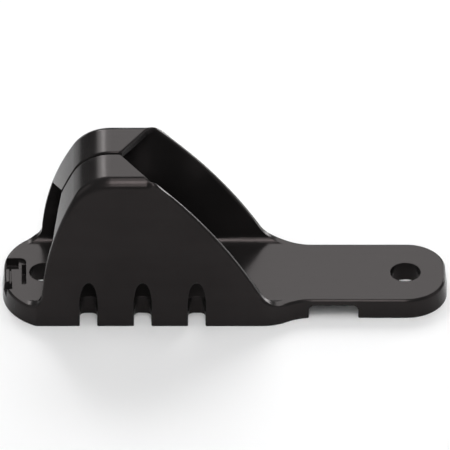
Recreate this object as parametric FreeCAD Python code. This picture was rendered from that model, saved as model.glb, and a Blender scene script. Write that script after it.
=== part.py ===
import FreeCAD, Part
import math
import os

from FreeCAD import Vector

# Driving dimensions in mm. X runs along the rope and Z points up from the deck.
# The origin is midway between the screw holes, on the underside.
PLATE_T = 3.5
LEAN = 0.082
BODY_HALF = 10.8
TAB_HALF = 8.45
TAB_END = 38.1
TAB_CORNER = 6.9
SHOULDER_X0 = 6.4
SHOULDER_X1 = 15.0
NOSE_END = -38.2
NOSE_FLAT_HALF = 1.7
NOSE_SPREAD = 1.0
NOSE_CORNER = 1.0

# Hood seen from the side. The steep front leads into the flat roof, then the long back edge.
ROOF_Z = 29.1
ROOF_T = 1.5
FRONT_TOP_X = -19.6
FRONT_TOP_R = 7.3
FRONT_TURN = 62.0
FRONT_R = 47.0
FRONT_FOOT_R = 2.6
BACK_R = 88.0
BACK_CX = -70.75
BACK_CZ = -36.95
BACK_TOP_R = 2.3
BACK_FADE = 3.0
BACK_FOOT_R = 4.8

# Rope tunnel through the hood.
WALL_FOOT = 1.6
TUNNEL_LEAN = 0.062
FLOOR_FILLET = 1.2
MOUTH_APEX_Z = 21.1
MOUTH_FALL = 0.545

# Notch and slit through the roof.
NOTCH_APEX_X = -18.1
NOTCH_SLOPE = 1.47
NOTCH_CORNER = 1.5
SLIT_HALF = 0.22
SLIT_CORNER = 0.8

# Screw holes.
HOLE_R = 2.6
HOLE_SPACING = 62.0

# Arched slots at the foot of the near wall.
SLOT_X = -4.85
SLOT_PITCH = 9.3
SLOT_COUNT = 3
SLOT_W = 3.0
SLOT_REACH = 3.8
SLOT_CORNER = 1.0
ARCH_SPRING_Z = 4.0
ARCH_APEX_Z = 8.5
ARCH_EDGE = 0.3

# Recess across the underside of the tab.
RECESS_X0 = 14.4
RECESS_X1 = 22.9
RECESS_H = 2.5
RECESS_R = 1.0
RECESS_LIP = 0.3

# Moulded relief at the tip of the nose, on the top. Each sinks from the top face.
RELIEF_X0 = -37.6
RELIEF_X1 = -34.2
RELIEF_Y0 = 0.9
RELIEF_Y1 = 4.0
RELIEF_STEP = 0.5
RELIEF_CORNER = 1.2
RELIEF_DEPTH = 1.7
POCKET_X1 = -35.5
GROOVE_W = 0.7
GROOVE_Y0 = -3.4
GROOVE_DEPTH = 2.6
NOTCH_X1 = -36.6
NOTCH_Y0 = -4.8
NOTCH_Y1 = -2.7
TONGUE_SLIT_X = -36.9
TONGUE_SLIT_W = 0.3
TONGUE_SLIT_DEPTH = 0.4

# Edge rounding.
PLATE_EDGE = 0.5
WALL_EDGE = 0.38
ROOF_EDGE = 1.95
FRONT_EDGE = 1.35
BACK_EDGE = 0.7
INNER_EDGE = 0.3
INNER_FADE = 0.1
INNER_END_X = 5.0

# Reach of the cutting shapes past the part, the gap that counts as touching, and the share
# of an edge's direction along Z that counts as upright.
OVER = 5.0
NEAR = 0.001
UPRIGHT = 0.98

# Worked out from the sizes above.
FLOOR_HALF = BODY_HALF - WALL_FOOT
NOSE_R = BODY_HALF + NOSE_SPREAD - NOSE_FLAT_HALF
SLOT_INNER = BODY_HALF - SLOT_REACH


def bend(cx, cy, radius, start, end, place):
    """Arc from start to end degrees about a centre, in the plane that place draws in."""
    points = []
    for angle in (start, (start + end) / 2.0, end):
        turn = math.radians(angle)
        points.append(place(cx + radius * math.cos(turn), cy + radius * math.sin(turn)))
    return Part.Arc(points[0], points[1], points[2]).toShape()


def heading(dx, dy):
    return math.degrees(math.atan2(dy, dx)) % 360.0


def joined(pieces):
    """The pieces in order, with a straight line wherever one stops short of the next."""
    edges = []
    for piece, after in zip(pieces, pieces[1:] + pieces[:1]):
        start = piece.valueAt(piece.LastParameter)
        end = after.valueAt(after.FirstParameter)
        edges.append(piece)
        if start.distanceToPoint(end) > 1e-6:
            edges.append(Part.LineSegment(start, end).toShape())
    return Part.Wire(edges)


def polygon(points):
    return Part.makePolygon(points + points[:1])


def slab(wire, reach):
    return Part.Face(wire).extrude(reach)


def box(x0, x1, y0, y1, z0, z1):
    return Part.makeBox(x1 - x0, y1 - y0, z1 - z0, Vector(x0, y0, z0))


def side(x, z):
    return Vector(x, -BODY_HALF - OVER, z)


def across():
    return Vector(0, 2.0 * (BODY_HALF + OVER), 0)


def plan_wire(out, z):
    """Outline of the plate seen from above, moved outwards by out, at height z."""
    drop = BODY_HALF - TAB_HALF
    run = SHOULDER_X1 - SHOULDER_X0
    sweep_r = (run * run + drop * drop) / (4.0 * drop)
    sweep = 90.0 - heading(run / 2.0, sweep_r - drop / 2.0)
    nose_cx = NOSE_END + NOSE_R
    corner_cy = BODY_HALF - NOSE_CORNER
    corner_dy = corner_cy - NOSE_FLAT_HALF
    corner_dx = math.sqrt((NOSE_R - NOSE_CORNER) ** 2 - corner_dy ** 2)
    corner = heading(-corner_dx, corner_dy)
    half = [
        (nose_cx, NOSE_FLAT_HALF, NOSE_R + out, 180.0, corner),
        (nose_cx - corner_dx, corner_cy, NOSE_CORNER + out, corner, 90.0),
        (SHOULDER_X0, BODY_HALF - sweep_r, sweep_r + out, 90.0, 90.0 - sweep),
        (SHOULDER_X1, TAB_HALF + sweep_r, sweep_r - out, 270.0 - sweep, 270.0),
        (TAB_END - TAB_CORNER, TAB_HALF - TAB_CORNER, TAB_CORNER + out, 90.0, 0.0),
    ]

    def far(x, y):
        return Vector(x, y, z)

    def near(x, y):
        return Vector(x, -y, z)

    there = [bend(cx, cy, radius, start, end, far) for cx, cy, radius, start, end in half]
    back = [bend(cx, cy, radius, end, start, near) for cx, cy, radius, start, end in reversed(half)]
    return joined(there + back)


def front_centre():
    """Centre of the large arc that forms the front of the hood."""
    turn = math.radians(90.0 - FRONT_TURN)
    reach = FRONT_R - FRONT_TOP_R
    return FRONT_TOP_X + reach * math.cos(turn), ROOF_Z - FRONT_TOP_R - reach * math.sin(turn)


def outer_profile():
    """Side profile of the whole part, from the underside up over the hood."""
    front_cx, front_cz = front_centre()
    foot_cz = PLATE_T + FRONT_FOOT_R
    foot_cx = front_cx - math.sqrt((FRONT_R + FRONT_FOOT_R) ** 2 - (foot_cz - front_cz) ** 2)
    foot = heading(foot_cx - front_cx, foot_cz - front_cz)
    top = 90.0 + FRONT_TURN
    edge_cz = ROOF_Z - BACK_TOP_R
    edge_cx = BACK_CX + math.sqrt((BACK_R - BACK_TOP_R) ** 2 - (edge_cz - BACK_CZ) ** 2)
    edge = heading(edge_cx - BACK_CX, edge_cz - BACK_CZ)
    heel_cz = PLATE_T + BACK_FOOT_R
    heel_cx = BACK_CX + math.sqrt((BACK_R + BACK_FOOT_R) ** 2 - (heel_cz - BACK_CZ) ** 2)
    heel = heading(heel_cx - BACK_CX, heel_cz - BACK_CZ)
    ends = [side(TAB_END + OVER, PLATE_T), side(TAB_END + OVER, -OVER)]
    ends += [side(NOSE_END - OVER, -OVER), side(NOSE_END - OVER, PLATE_T)]
    return joined([
        bend(foot_cx, foot_cz, FRONT_FOOT_R, 270.0, foot + 180.0, side),
        bend(front_cx, front_cz, FRONT_R, foot, top, side),
        bend(FRONT_TOP_X, ROOF_Z - FRONT_TOP_R, FRONT_TOP_R, top, 90.0, side),
        bend(edge_cx, edge_cz, BACK_TOP_R, 90.0, edge, side),
        bend(BACK_CX, BACK_CZ, BACK_R, edge, edge - BACK_FADE, side),
        bend(BACK_CX, BACK_CZ, BACK_R, edge - BACK_FADE, heel, side),
        bend(heel_cx, heel_cz, BACK_FOOT_R, heel + 180.0, 270.0, side),
    ] + [Part.LineSegment(a, b).toShape() for a, b in zip(ends, ends[1:])])


def inner_profile():
    """Side profile of the space under the roof, the front and roof offset by their thickness."""
    front_cx, front_cz = front_centre()
    top = 90.0 + FRONT_TURN
    foot = heading(-FRONT_R, PLATE_T - front_cz)
    ends = [side(TAB_END, ROOF_Z - ROOF_T), side(TAB_END, PLATE_T)]
    return joined([
        bend(front_cx, front_cz, FRONT_R - ROOF_T, foot, top, side),
        bend(FRONT_TOP_X, ROOF_Z - FRONT_TOP_R, FRONT_TOP_R - ROOF_T, top, 90.0, side),
        Part.LineSegment(ends[0], ends[1]).toShape(),
    ])


def section(half, lean, base, top, x):
    """Leaning cross section seen along X, half wide each side at height base."""
    rise = (top - base) * lean
    return polygon([
        Vector(x, -half, base),
        Vector(x, half, base),
        Vector(x, half - rise, top),
        Vector(x, rise - half, top),
    ])


def outer_blank():
    """The plate and the hood as one block, its sides and ends leaning in by the same amount."""
    low = ROOF_Z / 4.0
    drafted = Part.makeLoft([plan_wire(0.0, 0.0), plan_wire(-low * LEAN, low)], True, True)
    start = NOSE_END + NOSE_CORNER + OVER
    hood = slab(section(BODY_HALF, LEAN, 0.0, ROOF_Z + OVER, start), Vector(SHOULDER_X0 - start, 0, 0))
    whole = drafted.fuse(hood).removeSplitter()
    return whole.common(slab(outer_profile(), across())).Solids[0]


def outer_edge_radius(point):
    """Rounding of the outer top edge at a point on it, small low down and large on the roof."""
    if point.z < PLATE_T + WALL_EDGE:
        return PLATE_EDGE
    if point.z > ROOF_Z - WALL_EDGE:
        return ROOF_EDGE
    if point.x < FRONT_TOP_X and point.z > ROOF_Z - FRONT_TOP_R:
        return FRONT_EDGE
    if point.x > FRONT_TOP_X and point.z > ROOF_Z - BACK_TOP_R:
        return BACK_EDGE
    return WALL_EDGE


def is_outer_edge(edge):
    """True for edges that run round the outside of the plate top and up over the hood."""
    bounds = edge.BoundBox
    upright = bounds.ZMin < WALL_EDGE
    crossing = bounds.XLength < WALL_EDGE and bounds.YLength > TAB_HALF
    end = abs(edge.CenterOfMass.x) > TAB_END - PLATE_T
    return not upright and (end or not crossing)


def round_run(shape, chosen, radius_at):
    """Round a run of smoothly joined edges, with a radius that changes from point to point."""
    document = FreeCAD.newDocument("rounding")
    source = document.addObject("Part::Feature", "Source")
    source.Shape = shape
    rounded = document.addObject("Part::Fillet", "Rounded")
    rounded.Base = source
    radii = []
    for index, edge in enumerate(shape.Edges):
        if chosen(edge):
            first = radius_at(edge.Vertexes[0].Point)
            last = radius_at(edge.Vertexes[-1].Point)
            radii.append((index + 1, last, first))
    rounded.Edges = radii
    document.recompute()
    return rounded.Shape.Solids[0]


def tunnel_bar(start, reach):
    """Straight bar with the tunnel's cross section, rounded where the walls meet the floor."""
    bar = slab(section(FLOOR_HALF, TUNNEL_LEAN, PLATE_T, ROOF_Z + OVER, start), Vector(reach, 0, 0))
    corners = []
    for edge in bar.Edges:
        if edge.Length > reach - OVER and edge.CenterOfMass.z < PLATE_T + OVER:
            corners.append(edge)
    return bar.makeFillet(FLOOR_FILLET, corners)


def notch_wire():
    """Slit and notch seen from above: a narrow gap that opens into a wide V."""
    angle = math.atan(NOTCH_SLOPE)
    turn = math.degrees(angle)
    start = NOSE_END - OVER
    wide = BODY_HALF + OVER
    z = MOUTH_APEX_Z - BODY_HALF * MOUTH_FALL
    apex_x = NOTCH_APEX_X + SLIT_HALF / NOTCH_SLOPE
    corner_x = apex_x - SLIT_CORNER * math.tan(angle / 2.0)
    corner_y = SLIT_HALF + SLIT_CORNER
    leg_x = apex_x + (wide - SLIT_HALF) / NOTCH_SLOPE

    def far(x, y):
        return Vector(x, y, z)

    def near(x, y):
        return Vector(x, -y, z)

    return joined([
        bend(corner_x, corner_y, SLIT_CORNER, 270.0, 270.0 + turn, far),
        Part.LineSegment(far(leg_x, wide), far(TAB_END, wide)).toShape(),
        Part.LineSegment(near(TAB_END, wide), near(leg_x, wide)).toShape(),
        bend(corner_x, corner_y, SLIT_CORNER, 270.0 + turn, 270.0, near),
        Part.LineSegment(near(start, SLIT_HALF), far(start, SLIT_HALF)).toShape(),
    ])


def is_notch_corner(edge):
    """True for the two upright edges of the notch cutter where its slanted sides reach the walls."""
    middle = edge.CenterOfMass
    return edge.BoundBox.ZLength > OVER and abs(middle.y) > FLOOR_HALF / 2.0 and middle.x < 0


def tunnel():
    """Rope tunnel: the space under the roof, its arched front mouth, the slit and the notch."""
    start = NOSE_END - OVER
    reach = TAB_END - start
    bar = tunnel_bar(start, reach)
    under_roof = bar.common(slab(inner_profile(), across()))
    wide = BODY_HALF
    mouth = bar.common(slab(polygon([
        Vector(start, -wide, PLATE_T - OVER),
        Vector(start, wide, PLATE_T - OVER),
        Vector(start, wide, MOUTH_APEX_Z - wide * MOUTH_FALL),
        Vector(start, 0, MOUTH_APEX_Z),
        Vector(start, -wide, MOUTH_APEX_Z - wide * MOUTH_FALL),
    ]), Vector(reach, 0, 0)))
    notch = bar.common(slab(notch_wire(), Vector(0, 0, ROOF_Z)))
    notch = notch.makeFillet(NOTCH_CORNER, [edge for edge in notch.Edges if is_notch_corner(edge)])
    return under_roof.fuse([mouth, notch]).removeSplitter()


def is_inner_edge(edge, cutter):
    """True for the top edges that the cutter leaves along the slit, the notch and the walls behind."""
    middle = (edge.FirstParameter + edge.LastParameter) / 2.0
    point = edge.valueAt(middle)
    upright = abs(edge.tangentAt(middle).z) > UPRIGHT
    above_mouth = point.z > MOUTH_APEX_Z or point.x > FRONT_TOP_X
    below_top = Part.Vertex(side(point.x, point.z)).distToShape(outer_profile())[0]
    beside_cut = Part.Vertex(point).distToShape(cutter)[0] < NEAR
    return above_mouth and not upright and below_top < ROOF_T / 2.0 and beside_cut


def inner_edge_radius(point):
    """Rounding of the inner top edges, fading out down the back of the walls."""
    if point.x > INNER_END_X - NEAR:
        return INNER_FADE
    return INNER_EDGE


def round_inside(body, cutter):
    """Round the inner top edges down to where the fading radius has almost gone."""

    def chosen(edge):
        return is_inner_edge(edge, cutter)

    wide = BODY_HALF + OVER
    behind = box(INNER_END_X, TAB_END + OVER, -wide, wide, -OVER, ROOF_Z + OVER)
    rest = body.common(behind)
    rounded = round_run(body.cut(behind).Solids[0], chosen, inner_edge_radius)
    return rounded.fuse(rest).removeSplitter().Solids[0]


def slot(x):
    """Arched slot through the near wall and on through the edge of the plate under it."""
    half = SLOT_W / 2.0
    arch = Part.makeCylinder(1.0, 2.0 * BODY_HALF, Vector(0, -BODY_HALF - OVER, 0), Vector(0, 1, 0))
    stretch = FreeCAD.Matrix()
    stretch.scale(Vector(half, 1.0, ARCH_APEX_Z - ARCH_SPRING_Z))
    arch = arch.transformGeometry(stretch).translated(Vector(x, 0, ARCH_SPRING_Z))
    shaft = box(x - half, x + half, -BODY_HALF - OVER, -SLOT_INNER, -OVER, ARCH_SPRING_Z)
    column = box(x - half, x + half, -BODY_HALF - OVER, -SLOT_INNER, -OVER, ROOF_Z)
    ends = [edge for edge in column.Edges if edge.BoundBox.ZLength > OVER and edge.CenterOfMass.y > -BODY_HALF]
    column = column.makeFillet(SLOT_CORNER, ends)
    return arch.fuse(shaft).common(column)


def slots():
    return [slot(SLOT_X - index * SLOT_PITCH) for index in range(SLOT_COUNT)]


def holes():
    cutters = []
    for way in (-1, 1):
        base = Vector(way * HOLE_SPACING / 2.0, 0, -OVER)
        cutters.append(Part.makeCylinder(HOLE_R, PLATE_T + 2.0 * OVER, base))
    return cutters


def recess():
    """Recess across the underside of the tab, rounded where its sides meet its ceiling."""
    wide = BODY_HALF + OVER
    block = box(RECESS_X0, RECESS_X1, -wide, wide, -OVER, RECESS_H)
    ceiling = [edge for edge in block.Edges if edge.Length > wide and edge.CenterOfMass.z > 0]
    return block.makeFillet(RECESS_R, ceiling)


def relief():
    """Sunk shapes at the tip of the nose: a stepped pocket, a narrow groove and an open notch."""
    top = PLATE_T + OVER
    floor = PLATE_T - RELIEF_DEPTH
    step = box(RELIEF_X0, RELIEF_X1, RELIEF_Y0, RELIEF_Y1, PLATE_T - RELIEF_STEP, top)
    outer = [
        edge for edge in step.Edges
        if edge.BoundBox.ZLength > OVER and edge.CenterOfMass.x > POCKET_X1 and edge.CenterOfMass.y > RELIEF_Y0
    ]
    step = step.makeFillet(RELIEF_CORNER, outer)
    pocket = box(RELIEF_X0, POCKET_X1, RELIEF_Y0, RELIEF_Y1, floor, PLATE_T)
    groove_floor = PLATE_T - GROOVE_DEPTH
    groove = box(RELIEF_X1 - GROOVE_W, RELIEF_X1, GROOVE_Y0, RELIEF_Y1 - RELIEF_CORNER, groove_floor, top)
    notch = box(NOSE_END - OVER, NOTCH_X1, NOTCH_Y0, NOTCH_Y1, floor, top)
    slit_x = TONGUE_SLIT_X - TONGUE_SLIT_W / 2.0
    slit = box(slit_x, slit_x + TONGUE_SLIT_W, NOTCH_Y1, RELIEF_Y0, PLATE_T - TONGUE_SLIT_DEPTH, top)
    return [step, pocket, groove, notch, slit]


def is_arch_edge(edge):
    """True for the edges of the slots on the outside of the near wall."""
    middle = edge.valueAt((edge.FirstParameter + edge.LastParameter) / 2.0)
    outside = abs(middle.y + BODY_HALF - LEAN * middle.z) < NEAR
    beside = [abs(middle.x - SLOT_X + index * SLOT_PITCH) < SLOT_W / 2.0 + NEAR for index in range(SLOT_COUNT)]
    return outside and any(beside) and NEAR < middle.z < ARCH_APEX_Z + NEAR


def is_recess_lip(edge):
    """True for the two edges where the recess meets the underside."""
    middle = edge.CenterOfMass
    at_lip = min(abs(middle.x - RECESS_X0), abs(middle.x - RECESS_X1)) < NEAR
    return at_lip and abs(middle.z) < NEAR


def clam_cleat():
    body = round_run(outer_blank(), is_outer_edge, outer_edge_radius)
    cutter = tunnel()
    body = round_inside(body.cut(cutter).removeSplitter().Solids[0], cutter)
    body = body.cut(slots()).removeSplitter().Solids[0]
    body = body.makeFillet(ARCH_EDGE, [edge for edge in body.Edges if is_arch_edge(edge)])
    body = body.cut(holes() + relief() + [recess()]).removeSplitter().Solids[0]
    return body.makeFillet(RECESS_LIP, [edge for edge in body.Edges if is_recess_lip(edge)])


os.makedirs("parts", exist_ok=True)
clam_cleat().exportStep("parts/cleat_body.step")
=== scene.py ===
import math

import bpy
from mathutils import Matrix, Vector

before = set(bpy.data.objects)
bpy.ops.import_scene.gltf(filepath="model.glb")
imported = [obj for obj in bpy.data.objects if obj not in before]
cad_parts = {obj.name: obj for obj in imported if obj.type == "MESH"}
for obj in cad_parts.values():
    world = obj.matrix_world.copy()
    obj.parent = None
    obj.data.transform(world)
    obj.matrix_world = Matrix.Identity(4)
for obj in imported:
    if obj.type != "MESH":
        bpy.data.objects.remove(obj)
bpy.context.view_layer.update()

# The photograph's frame: pixels across it, pixels to a metre, and the point at its middle.
FRAME_PX = 450
PX_PER_M = 5818.0
VIEW_ELEVATION = 36.87
VIEW_MIDDLE = Vector((0.0, 0.00486, 0.00998))
CAMERA_REACH = 0.3

# Black moulded plastic. A noise is given by its scale, detail and roughness.
PLASTIC_DEEP = (0.0112, 0.0104, 0.0103, 1.0)
PLASTIC_PALE = (0.0168, 0.0156, 0.0155, 1.0)
PLASTIC_IOR = 1.5
PLASTIC_SPECULAR = 0.145
PLASTIC_SHEEN_TINT = (1.0, 0.86, 0.85, 1.0)
GLOSS_LOW = 0.17
GLOSS_HIGH = 0.25
CLOUD_NOISE = (70.0, 4.0, 0.55)
FLOW_NOISE = (260.0, 5.0, 0.6)
FLOW_STRETCH = (0.16, 1.0, 1.0)
FLOW_IN_COLOUR = 0.4
FLOW_IN_GLOSS = 0.5
MASK_FROM = 0.3
MASK_TO = 0.7
GRAIN_NOISE = (5200.0, 2.0, 0.5)
GRAIN_DEPTH = 0.0000016
RIPPLE_NOISE = (420.0, 1.0, 0.4)
RIPPLE_DEPTH = 0.0000045
EDGE_SOFTNESS = 0.00022
EDGE_SAMPLES = 6

# Pale paper floor.
FLOOR_HALF_WIDTH = 1.6
FLOOR_COLOUR = (0.96, 0.96, 0.96, 1.0)
FLOOR_ROUGHNESS = 0.9
FLOOR_GAP = 0.00002
TOOTH_NOISE = (900.0, 3.0, 0.6)
TOOTH_STRENGTH = 0.05
TOOTH_DEPTH = 0.0002

# Softboxes: azimuth round from +Y towards +X, elevation, width, height and brightness.
BOX_REACH = 0.62
SOFTBOXES = {
    "back_softbox": (0.0, 38.0, 0.52, 0.30, 3.6),
    "back_left_strip": (-17.0, 34.0, 0.05, 0.34, 7.5),
    "back_right_strip": (38.0, 6.0, 0.20, 0.20, 9.0),
    "front_softbox": (180.0, 38.0, 0.07, 0.30, 9.0),
    "top_softbox": (180.0, 66.0, 0.07, 0.30, 20.0),
    "crown_softbox": (0.0, 86.0, 0.07, 0.30, 7.5),
    "left_softbox": (-90.0, 30.0, 0.36, 0.40, 1.1),
    "right_softbox": (90.0, 30.0, 0.36, 0.40, 1.1),
}
WORLD_COLOUR = (0.11, 0.11, 0.113, 1.0)


class Field:
    """A shader value, on which arithmetic adds Math nodes to its material."""

    def __init__(self, finish, socket):
        self.finish = finish
        self.socket = socket

    def math(self, operation, first, second):
        node = self.finish.add("ShaderNodeMath", {"operation": operation}, {0: first, 1: second})
        return Field(self.finish, node.outputs[0])

    def __add__(self, other):
        return self.math("ADD", self, other)

    def __radd__(self, other):
        return self.math("ADD", other, self)

    def __mul__(self, other):
        return self.math("MULTIPLY", self, other)

    def __rmul__(self, other):
        return self.math("MULTIPLY", other, self)


class Finish:
    """A node material, whose nodes all come from add."""

    def __init__(self, name):
        self.material = bpy.data.materials.new(name)
        self.material.use_nodes = True
        self.tree = self.material.node_tree
        self.tree.nodes.clear()

    def add(self, kind, settings, sockets):
        """Add a node: its settings are set first, then each socket's value or link."""
        node = self.tree.nodes.new(kind)
        for name, value in settings.items():
            setattr(node, name, value)
        for key, value in sockets.items():
            if isinstance(value, Field):
                self.tree.links.new(value.socket, node.inputs[key])
            else:
                node.inputs[key].default_value = value
        return node

    def field(self, kind, settings, sockets, output):
        return Field(self, self.add(kind, settings, sockets).outputs[output])

    def object_place(self):
        return self.field("ShaderNodeTexCoord", {}, {}, "Object")

    def noise(self, place, look):
        scale, detail, roughness = look
        sockets = {"Vector": place, "Scale": scale, "Detail": detail, "Roughness": roughness}
        return self.field("ShaderNodeTexNoise", {}, sockets, "Fac")

    def stretched(self, place, scale):
        return self.field("ShaderNodeMapping", {}, {"Vector": place, "Scale": scale}, "Vector")

    def between(self, mask, low, high):
        """A number that runs from low to high as a noise mask crosses its middle range."""
        settings = {"clamp": True}
        sockets = {"Value": mask, "From Min": MASK_FROM, "From Max": MASK_TO, "To Min": low, "To Max": high}
        return self.field("ShaderNodeMapRange", settings, sockets, "Result")

    def mix_colour(self, mask, low, high):
        node = self.add("ShaderNodeMix", {"data_type": "RGBA"}, {0: mask, 6: low, 7: high})
        return Field(self, node.outputs[2])

    def end(self, shader):
        self.add("ShaderNodeOutputMaterial", {}, {"Surface": Field(self, shader.outputs[0])})
        return self.material


def moulded_plastic():
    """Black plastic with faint clouds, flow lines along X, a fine grain and softened edges."""
    finish = Finish("black_moulded_plastic")
    place = finish.object_place()
    clouds = finish.noise(place, CLOUD_NOISE)
    flow = finish.noise(finish.stretched(place, FLOW_STRETCH), FLOW_NOISE)
    grain = finish.noise(place, GRAIN_NOISE)
    ripple = finish.noise(place, RIPPLE_NOISE)
    colour_mask = (1.0 - FLOW_IN_COLOUR) * clouds + FLOW_IN_COLOUR * flow
    gloss_mask = (1.0 - FLOW_IN_GLOSS) * clouds + FLOW_IN_GLOSS * flow
    colour = finish.mix_colour(finish.between(colour_mask, 0.0, 1.0), PLASTIC_DEEP, PLASTIC_PALE)
    gloss = finish.between(gloss_mask, GLOSS_LOW, GLOSS_HIGH)
    height = grain * GRAIN_DEPTH + ripple * RIPPLE_DEPTH
    soft = finish.field("ShaderNodeBevel", {"samples": EDGE_SAMPLES}, {"Radius": EDGE_SOFTNESS}, "Normal")
    sockets = {"Height": height, "Strength": 1.0, "Distance": 1.0, "Normal": soft}
    bump = finish.field("ShaderNodeBump", {}, sockets, "Normal")
    return finish.end(finish.add("ShaderNodeBsdfPrincipled", {}, {
        "Base Color": colour,
        "Roughness": gloss,
        "IOR": PLASTIC_IOR,
        "Specular IOR Level": PLASTIC_SPECULAR,
        "Specular Tint": PLASTIC_SHEEN_TINT,
        "Normal": bump,
    }))


def floor_paper():
    """Matt white studio paper with a barely visible tooth."""
    finish = Finish("studio_paper")
    tooth = finish.noise(finish.object_place(), TOOTH_NOISE)
    sockets = {"Height": tooth, "Strength": TOOTH_STRENGTH, "Distance": TOOTH_DEPTH}
    bump = finish.field("ShaderNodeBump", {}, sockets, "Normal")
    return finish.end(finish.add("ShaderNodeBsdfPrincipled", {}, {
        "Base Color": FLOOR_COLOUR,
        "Roughness": FLOOR_ROUGHNESS,
        "Specular IOR Level": 0.0,
        "Normal": bump,
    }))


def lay_floor():
    half = FLOOR_HALF_WIDTH
    corners = [(-half, -half), (half, -half), (half, half), (-half, half)]
    mesh = bpy.data.meshes.new("studio_floor")
    mesh.from_pydata([(x, y, -FLOOR_GAP) for x, y in corners], [], [(0, 1, 2, 3)])
    mesh.materials.append(floor_paper())
    floor = bpy.data.objects.new("studio_floor", mesh)
    bpy.context.scene.collection.objects.link(floor)


def hang_softbox(name, azimuth, elevation, width, height, brightness):
    """A rectangular lamp that faces the part, as bright as a white surface times brightness."""
    turn = math.radians(azimuth)
    tilt = math.radians(elevation)
    away = Vector((math.sin(turn) * math.cos(tilt), math.cos(turn) * math.cos(tilt), math.sin(tilt)))
    lamp = bpy.data.lights.new(name, "AREA")
    lamp.shape = "RECTANGLE"
    lamp.size = width
    lamp.size_y = height
    lamp.energy = brightness * math.pi * width * height
    holder = bpy.data.objects.new(name, lamp)
    holder.location = away * BOX_REACH
    holder.rotation_mode = "QUATERNION"
    holder.rotation_quaternion = (-away).to_track_quat("-Z", "Y")
    bpy.context.scene.collection.objects.link(holder)


def light_studio():
    for name, place in SOFTBOXES.items():
        hang_softbox(name, *place)
    world = bpy.data.worlds.new("studio")
    world.use_nodes = True
    world.node_tree.nodes["Background"].inputs["Color"].default_value = WORLD_COLOUR
    bpy.context.scene.world = world


def set_camera():
    """Parallel view from the photograph's angle, with its scale and middle."""
    tilt = math.radians(VIEW_ELEVATION)
    towards = Vector((0.0, math.cos(tilt), -math.sin(tilt)))
    lens = bpy.data.cameras.new("photo_camera")
    lens.type = "ORTHO"
    lens.ortho_scale = FRAME_PX / PX_PER_M
    camera = bpy.data.objects.new("photo_camera", lens)
    camera.location = VIEW_MIDDLE - towards * CAMERA_REACH
    camera.rotation_mode = "QUATERNION"
    camera.rotation_quaternion = towards.to_track_quat("-Z", "Y")
    bpy.context.scene.collection.objects.link(camera)
    bpy.context.scene.camera = camera


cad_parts["cleat_body"].material_slots[0].material = moulded_plastic()
lay_floor()
light_studio()
set_camera()
bpy.context.scene.view_settings.view_transform = "Standard"
